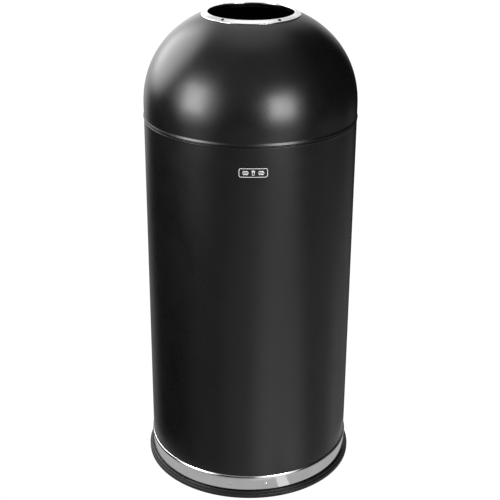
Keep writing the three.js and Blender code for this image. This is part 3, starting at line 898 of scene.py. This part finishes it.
def liner_wall():
    """Rolled sheet with a lock seam at the back, two swaged ribs and a rim rolled round a wire."""
    curl_r = LINER_R + CURL_R - LINER_SHEET
    curl_z = LINER_TOP - CURL_R
    places = near_back(LINER_R, LINER_SEAM_HALF)

    def rib_out(z):
        return sum(LINER_RIB_OUT * math.exp(-((z - rib) / LINER_RIB_FADE) ** 2) for rib in LINER_RIBS)

    def seam(turn, r, z):
        on_wall = r > LINER_R - 1 and z < curl_z - 3
        return ridge(turn, LINER_R, LINER_SEAM_HALF, LINER_SEAM_H) if on_wall else 0.0

    steps = spread(-LINER_RIB_REACH, LINER_RIB_REACH, 12)
    rib_heights = [rib + step for rib in LINER_RIBS for step in steps]
    heights = sorted([LINER_BOTTOM, curl_z - 2] + rib_heights)
    section = [
        *[(LINER_R + rib_out(z), z) for z in heights],
        *arc(curl_r, curl_z, CURL_R - LINER_SHEET, 178, -110, 16),
        *arc(curl_r, curl_z, CURL_R, -110, 180, 18),
        *[(LINER_R - LINER_SHEET + rib_out(z), z) for z in reversed(heights)],
    ]
    wall = turned("liner_wall_sheet", section, extra_turns=places, swell=seam)
    finish_piece(wall, "liner", "galvanised", GALVANISED, "liner_wall")


def liner_floor():
    outer = LINER_R - LINER_SHEET - GAP
    low = LINER_FLOOR - LINER_SHEET
    section = rounded([
        (0, low, 0),
        (DISH_INNER[0], low, 3),
        (DISH_INNER[1], low - FLOOR_DISH, 3),
        (DISH_OUTER[0], low - FLOOR_DISH, 3),
        (DISH_OUTER[1], low, 3),
        (outer - LINER_SHEET, low, 1.0),
        (outer - LINER_SHEET, LINER_BOTTOM, 0),
        (outer, LINER_BOTTOM, 0),
        (outer, LINER_FLOOR, 1.5),
        (DISH_OUTER[1], LINER_FLOOR, 3),
        (DISH_OUTER[0], LINER_FLOOR - FLOOR_DISH, 3),
        (DISH_INNER[1], LINER_FLOOR - FLOOR_DISH, 3),
        (DISH_INNER[0], LINER_FLOOR, 3),
        (0, LINER_FLOOR, 0),
    ])
    finish_piece(turned("liner_floor_pressing", section), "liner", "galvanised", GALVANISED, "liner_floor")


def rim_wire():
    section = arc(LINER_R + CURL_R - LINER_SHEET, LINER_TOP - CURL_R, RIM_WIRE_R, 0, 330, 11)
    finish_piece(turned("rim_wire_round", section), "liner", "zinc_steel", ZINC, "rim_wire")


EAR_OUTER_R = LINER_R - LINER_SHEET - GAP
EAR_RIVET_SPREAD = math.degrees(EAR_RIVET_OUT / LINER_R)


def ear_outline():
    """The ear's shape as (across, height) points from its lower left corner, anticlockwise."""
    half = EAR_W / 2
    shoulder = [(half, BAIL_Z - 28), (half - 0.8, BAIL_Z - 25), (EAR_TOP_R + 0.6, BAIL_Z - 7)]
    corner_r, corner_z = half - EAR_CORNER, EAR_BOTTOM + EAR_CORNER
    return [
        *arc(corner_r, corner_z, EAR_CORNER, -90, 0, 4),
        *shoulder,
        *arc(0, BAIL_Z, EAR_TOP_R, 0, 180, 14),
        *[(-across, height) for across, height in reversed(shoulder)],
        *arc(-corner_r, corner_z, EAR_CORNER, 180, 270, 4),
    ]


def bail_ear(node, angle):
    """A plate that hugs the liner's wall, with a hole for the bail."""
    outline = ear_outline()
    inner, outer = EAR_OUTER_R - EAR_T, EAR_OUTER_R
    easing = 0.4
    middle = Vector((0, (EAR_BOTTOM + BAIL_Z) / 2))

    def shrunk(point):
        return Vector(point) + (middle - Vector(point)).normalized() * easing

    rings = [
        ([shrunk(p) for p in outline], inner),
        ([Vector(p) for p in outline], inner + easing),
        ([Vector(p) for p in outline], outer - easing),
        ([shrunk(p) for p in outline], outer),
    ]
    points, rows = [], []
    for line, radius in rings:
        row = []
        for across, height in line:
            turn = math.radians(angle) + across / LINER_R
            row.append(len(points))
            points.append((radius * math.sin(turn), -radius * math.cos(turn), height))
        rows.append(row)
    faces = [rows[0][::-1], rows[-1]]
    for row, following in zip(rows, rows[1:]):
        for k in range(len(row)):
            after = (k + 1) % len(row)
            faces.append([row[k], row[after], following[after], following[k]])
    ear = make(f"{node}_plate", points, faces)
    hole_r = BAIL_WIRE_R + GAP
    hole = turned("hole", [(0, -12), (hole_r, -12), (hole_r, 6), (0, 6)], SMALL_SIDES)
    cut(ear, facing_out(hole, angle, LINER_R, BAIL_Z))
    finish_piece(ear, "liner", "galvanised", GALVANISED, node)


def bail_ears():
    for node, angle in zip(("bail_ear_left", "bail_ear_right"), EAR_ANGLES):
        bail_ear(node, angle)


def ear_rivets():
    places = [ear + side * EAR_RIVET_SPREAD for ear in EAR_ANGLES for side in (-1, 1)]
    for i, angle in enumerate(places, 1):
        rivet = turned(f"ear_rivet_{i}_domed", rivet_section(*EAR_RIVET), SMALL_SIDES)
        rivet.data.transform(Matrix.Rotation(math.pi, 4, "X"))
        facing_out(rivet, angle, EAR_OUTER_R - EAR_T - RIVET_LIFT, EAR_BOTTOM + EAR_RIVET_UP)
        finish_piece(rivet, "liner", "zinc_steel", ZINC, f"ear_rivet_{i}")


# ---------- Bail ----------

def on_bow(degrees):
    """A point on the bail's bow, from the right leg (0) to the left one (180)."""
    turn = math.radians(degrees)
    return (
        BAIL_HALF_SPAN * math.cos(turn),
        BAIL_BEND + (BAIL_REACH - BAIL_BEND) * math.sin(turn),
        BAIL_Z,
    )


def bail_path():
    leg_end = LINER_R + BAIL_LEG_OUT
    bend_start = BAIL_HALF_SPAN + BAIL_BEND
    leg = [(x, 0.0, BAIL_Z) for x in spread(leg_end, bend_start, 4)]
    bend = []
    for t in spread(0, 1, 10)[1:]:
        x = bend_start * (1 - t) ** 2 + BAIL_HALF_SPAN * (2 * t * (1 - t) + t ** 2)
        bend.append((x, BAIL_BEND * t ** 2, BAIL_Z))
    half = leg + bend
    bow = [on_bow(degrees) for degrees in spread(0, 180, 120)[1:-1]]
    return half + bow + [(-x, y, z) for x, y, z in reversed(half)]


def bail_wire():
    wire = swept("bail_wire_bent", bail_path(), lambda _: BAIL_WIRE_R, 20)
    finish_piece(wire, "bail", "zinc_steel", ZINC, "bail_wire")
    section = rounded([(0, -2, 0), (BAIL_BUTTON_R, -2, 0.8), (BAIL_BUTTON_R, 0.5, 1.2), (0, 0.5, 0)])
    for side, angle in zip(("left", "right"), EAR_ANGLES):
        button = turned(f"bail_button_{side}", section, SMALL_SIDES)
        facing_out(button, angle, LINER_R + BAIL_LEG_OUT, BAIL_Z)
        finish_piece(button, "bail", "zinc_steel", ZINC)


def bail_grip():
    """Moulded grip with finger ridges and rounded ends."""
    path = [on_bow(degrees) for degrees in spread(90 - GRIP_HALF_ARC, 90 + GRIP_HALF_ARC, 120)]
    bore = BAIL_WIRE_R + GAP
    ridge_h = 0.32
    ridge_count = 14
    ridges_start = 0.1
    end_share = 0.035
    end_fullness = 0.12

    def radius(share):
        eased = min(1.0, min(share, 1 - share) / end_share)
        end = math.sqrt(1 - (1 - eased) ** 2)
        ridged = ridges_start < share < 1 - ridges_start
        ridges = ridge_h * math.cos(share * 2 * math.pi * ridge_count) if ridged else ridge_h
        return bore + (GRIP_R - ridge_h - bore) * max(end, end_fullness) + ridges * end

    finish_piece(swept("bail_grip_moulding", path, radius), "bail", "black_plastic", PLASTIC, "bail_grip")


# ---------- Stage, lights and camera, in metres and degrees ----------

STUDIO_WHITE = 1.05
FLOOR_HALF = 9.0
SOFTBOX_DISTANCE = 2.4
SOFTBOX_AIM_Z = 0.72

TENT_R = 5.0
TENT_CENTRE = Vector((0, 0, 0.45))
TENT_BASE = 0.01
# Each panel's azimuth, elevation, half spread and softness in degrees, and its brightness.
TENT_PANELS = {
    "left_key": (-60, 14, 21, 10, 3.0),
    "right_key": (32, 10, 17, 12, 2.0),
    "left_back_low": (-152, 6, 16, 12, 1.2),
    "left_back_high": (-125, 27, 22, 10, 5.0),
    "back_low": (180, 12, 17, 13, 0.95),
    "back_middle": (180, 43, 17, 13, 0.95),
    "back_high": (180, 74, 17, 13, 0.8),
    "overhead": (-10, 60, 40, 24, 0.3),
    "floor_front_right": (35, -40, 17, 15, 0.95),
    "floor_front": (0, -32, 17, 13, 0.34),
    "floor_right": (88, -42, 28, 12, 0.28),
    "floor_back_right": (132, -34, 16, 12, 0.22),
    "floor_front_left": (-40, -36, 17, 14, 0.15),
    "floor_back_left": (-160, -36, 17, 12, 0.3),
}

PATCH_R = 235.0        # millimetres, as are the card's sizes
PATCH_Z = -0.4
PATCH_GLOW = 0.48
CARD_NEAR = 186.0
CARD_FAR = 285.0
CARD_HALF_W = 12.0
CARD_SPREAD = 1.6      # how much wider its far end is
CARD_Z = 0.4
CARD_ANGLE = 23
CARD_GLOW = 0.85

CAMERA_PLACE = (0.0006, -1.8674, 1.2162)
CAMERA_DOWN = 23.54
CAMERA_ROLL = 0.35
CAMERA_LENS = 81.32


def floor():
    """A plain white floor, which reflections don't see."""
    corners = [(x * FLOOR_HALF, y * FLOOR_HALF, 0) for x, y in ((-1, -1), (1, -1), (1, 1), (-1, 1))]
    mesh = bpy.data.meshes.new("floor")
    mesh.from_pydata(corners, [], [(0, 1, 2, 3)])
    plane = bpy.data.objects.new("floor", mesh)
    bpy.context.scene.collection.objects.link(plane)
    recipe = Recipe("floor_white")
    recipe.set(Base_Color=(0, 0, 0, 1), Roughness=1.0, Specular_IOR_Level=0.0)
    recipe.set(Emission_Color=(1, 1, 1, 1), Emission_Strength=STUDIO_WHITE)
    mesh.materials.append(recipe.material)
    plane.visible_glossy = False


def world():
    made = bpy.data.worlds.new("studio")
    made.use_nodes = True
    background = made.node_tree.nodes["Background"]
    background.inputs["Color"].default_value = (1, 1, 1, 1)
    background.inputs["Strength"].default_value = STUDIO_WHITE
    bpy.context.scene.world = made


def direction(azimuth, elevation):
    """A unit vector from the bin: azimuth in degrees from the front towards +X."""
    a, e = math.radians(azimuth), math.radians(elevation)
    return Vector((math.sin(a) * math.cos(e), -math.cos(a) * math.cos(e), math.sin(e)))


def softbox(name, azimuth, elevation, width, height, watts):
    light = bpy.data.lights.new(name, "AREA")
    light.shape = "RECTANGLE"
    light.size = width
    light.size_y = height
    light.energy = watts
    lamp = bpy.data.objects.new(name, light)
    aim = Vector((0, 0, SOFTBOX_AIM_Z))
    lamp.location = aim + direction(azimuth, elevation) * SOFTBOX_DISTANCE
    lamp.rotation_euler = (aim - lamp.location).to_track_quat("-Z", "Y").to_euler()
    lamp.visible_camera = False
    bpy.context.scene.collection.objects.link(lamp)


def globe(name):
    """A round shell about the whole studio."""
    points, rows = [], []
    for elevation in spread(-90, 90, 48):
        row = []
        for azimuth in spread(0, 360, 96)[:-1]:
            row.append(len(points))
            points.append((TENT_CENTRE + direction(azimuth, elevation) * TENT_R) / MM)
        rows.append(row)
    faces = []
    for row, following in zip(rows, rows[1:]):
        for k in range(len(row)):
            after = (k + 1) % len(row)
            faces.append([row[k], row[after], following[after], following[k]])
    return make(name, points, faces)


def vector_node(recipe, operation, source, constant=None):
    made = recipe.node("ShaderNodeVectorMath")
    made.operation = operation
    recipe.join(source, made.inputs[0])
    if constant is not None:
        made.inputs[1].default_value = constant
    return made


def panel_glow(recipe, outwards, azimuth, elevation, half_spread, softness, level):
    """How brightly a soft round panel glows in each direction from the tent's centre."""
    facing = vector_node(recipe, "DOT_PRODUCT", outwards, direction(azimuth, elevation))
    panel = recipe.node("ShaderNodeMapRange")
    panel.interpolation_type = "SMOOTHSTEP"
    panel.inputs["From Min"].default_value = math.cos(math.radians(half_spread + softness))
    panel.inputs["From Max"].default_value = math.cos(math.radians(max(half_spread - softness, 0)))
    panel.inputs["To Max"].default_value = level
    recipe.join(facing.outputs["Value"], panel.inputs["Value"])
    return panel.outputs["Result"]


def plus_node(recipe, first):
    made = recipe.node("ShaderNodeMath")
    made.operation = "ADD"
    recipe.join(first, made.inputs[0])
    return made


def tent():
    """A dark studio tent with soft bright panels, which only reflections see."""
    recipe = Recipe("tent_panels")
    from_centre = vector_node(recipe, "SUBTRACT", recipe.place, TENT_CENTRE)
    outwards = vector_node(recipe, "NORMALIZE", from_centre.outputs["Vector"]).outputs["Vector"]
    glows = [panel_glow(recipe, outwards, *panel) for panel in TENT_PANELS.values()]
    total = glows[0]
    for glow in glows[1:]:
        plus = plus_node(recipe, total)
        recipe.join(glow, plus.inputs[1])
        total = plus.outputs["Value"]
    lift = plus_node(recipe, total)
    lift.inputs[1].default_value = TENT_BASE
    emission = recipe.node("ShaderNodeEmission")
    recipe.join(lift.outputs["Value"], emission.inputs["Strength"])
    recipe.join(emission.outputs["Emission"], recipe.tree.nodes["Material Output"].inputs["Surface"])
    recipe.tree.nodes.remove(recipe.shader)
    only_reflected(globe("tent"), recipe.material)


def only_reflected(piece, material):
    piece.data.materials.append(material)
    piece.visible_camera = False
    piece.visible_diffuse = False
    piece.visible_transmission = False
    piece.visible_volume_scatter = False
    piece.visible_shadow = False


def glowing(name, level):
    recipe = Recipe(name)
    glow = recipe.node("ShaderNodeEmission", Strength=level)
    recipe.join(glow.outputs["Emission"], recipe.tree.nodes["Material Output"].inputs["Surface"])
    return recipe.material


def lit_patch():
    """The pale patch of floor just round the bin, as its foot reflects it."""
    sides = 96
    turns = spread(0, 2 * math.pi, sides)[:-1]
    edge = [(PATCH_R * math.cos(t), PATCH_R * math.sin(t), PATCH_Z) for t in turns]
    faces = [(0, k, k % sides + 1) for k in range(1, sides + 1)]
    patch = make("lit_patch", [(0, 0, PATCH_Z), *edge], faces)
    only_reflected(patch, glowing("patch_grey", PATCH_GLOW))


def lit_card():
    """A bright strip of floor that the foot band reflects as a pale streak."""
    far_half = CARD_HALF_W * CARD_SPREAD
    corners = [
        (-CARD_HALF_W, -CARD_NEAR, CARD_Z),
        (CARD_HALF_W, -CARD_NEAR, CARD_Z),
        (far_half, -CARD_FAR, CARD_Z),
        (-far_half, -CARD_FAR, CARD_Z),
    ]
    card = make("lit_card", corners, [(0, 1, 2, 3)])
    card.data.transform(Matrix.Rotation(math.radians(CARD_ANGLE), 4, "Z"))
    only_reflected(card, glowing("card_white", CARD_GLOW))


def camera():
    made = bpy.data.cameras.new("camera")
    made.sensor_width = 36.0
    made.lens = CAMERA_LENS
    eye = bpy.data.objects.new("camera", made)
    eye.matrix_world = (
        Matrix.Translation(CAMERA_PLACE)
        @ Matrix.Rotation(math.radians(90 - CAMERA_DOWN), 4, "X")
        @ Matrix.Rotation(math.radians(CAMERA_ROLL), 4, "Z")
    )
    bpy.context.scene.collection.objects.link(eye)
    bpy.context.scene.camera = eye


bpy.context.scene.view_settings.view_transform = "Standard"
camera()
world()
floor()
tent()
lit_patch()
lit_card()
softbox("key_left", azimuth=-60, elevation=11, width=1.05, height=1.15, watts=32)
softbox("key_right", azimuth=32, elevation=8, width=1.0, height=1.0, watts=31)

body_shell()
base_pan()
base_band()
band_rivets()
plinth_ring()
plinth_screws()
nameplate()
dome_shell()
dome_collar()
trim_ring()
ring_screws()
liner_wall()
liner_floor()
rim_wire()
bail_ears()
ear_rivets()
bail_wire()
bail_grip()
